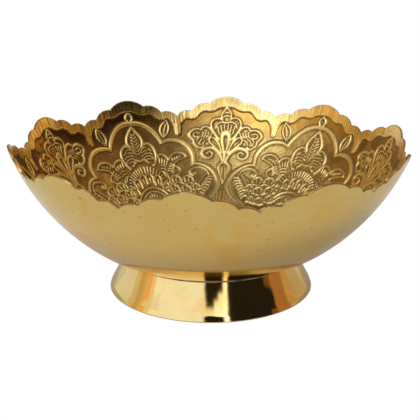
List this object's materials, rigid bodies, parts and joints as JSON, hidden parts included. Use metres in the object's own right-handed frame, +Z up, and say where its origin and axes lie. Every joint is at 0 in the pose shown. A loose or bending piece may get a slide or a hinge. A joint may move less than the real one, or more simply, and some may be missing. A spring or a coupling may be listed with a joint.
{
  "type": "footed bowl",
  "caption": "Footed decorative brass bowl with a scalloped rim: a chased spherical shell on a flared ring foot, for floating flowers, lights or fruit.",
  "frame": {"origin": "middle of the foot's base, on the surface the bowl stands on", "axes": "+Z is up along the bowl's axis; +Y points to the tip of one rim lobe, opposite another"},
  "size_m": [0.2438, 0.2504, 0.0989],
  "materials": {
    "bowl_brass": "satin polish outside, chased relief with dark patina inside",
    "foot_brass": "mirror polish with faint turning lines",
    "filler_metal": "dull, oxidised"
  },
  "bodies": {
    "root": {"bowl_shell": "bowl_brass", "foot_ring": "foot_brass", "outer_braze": "filler_metal", "inner_braze": "filler_metal"}
  },
  "joints": []
}
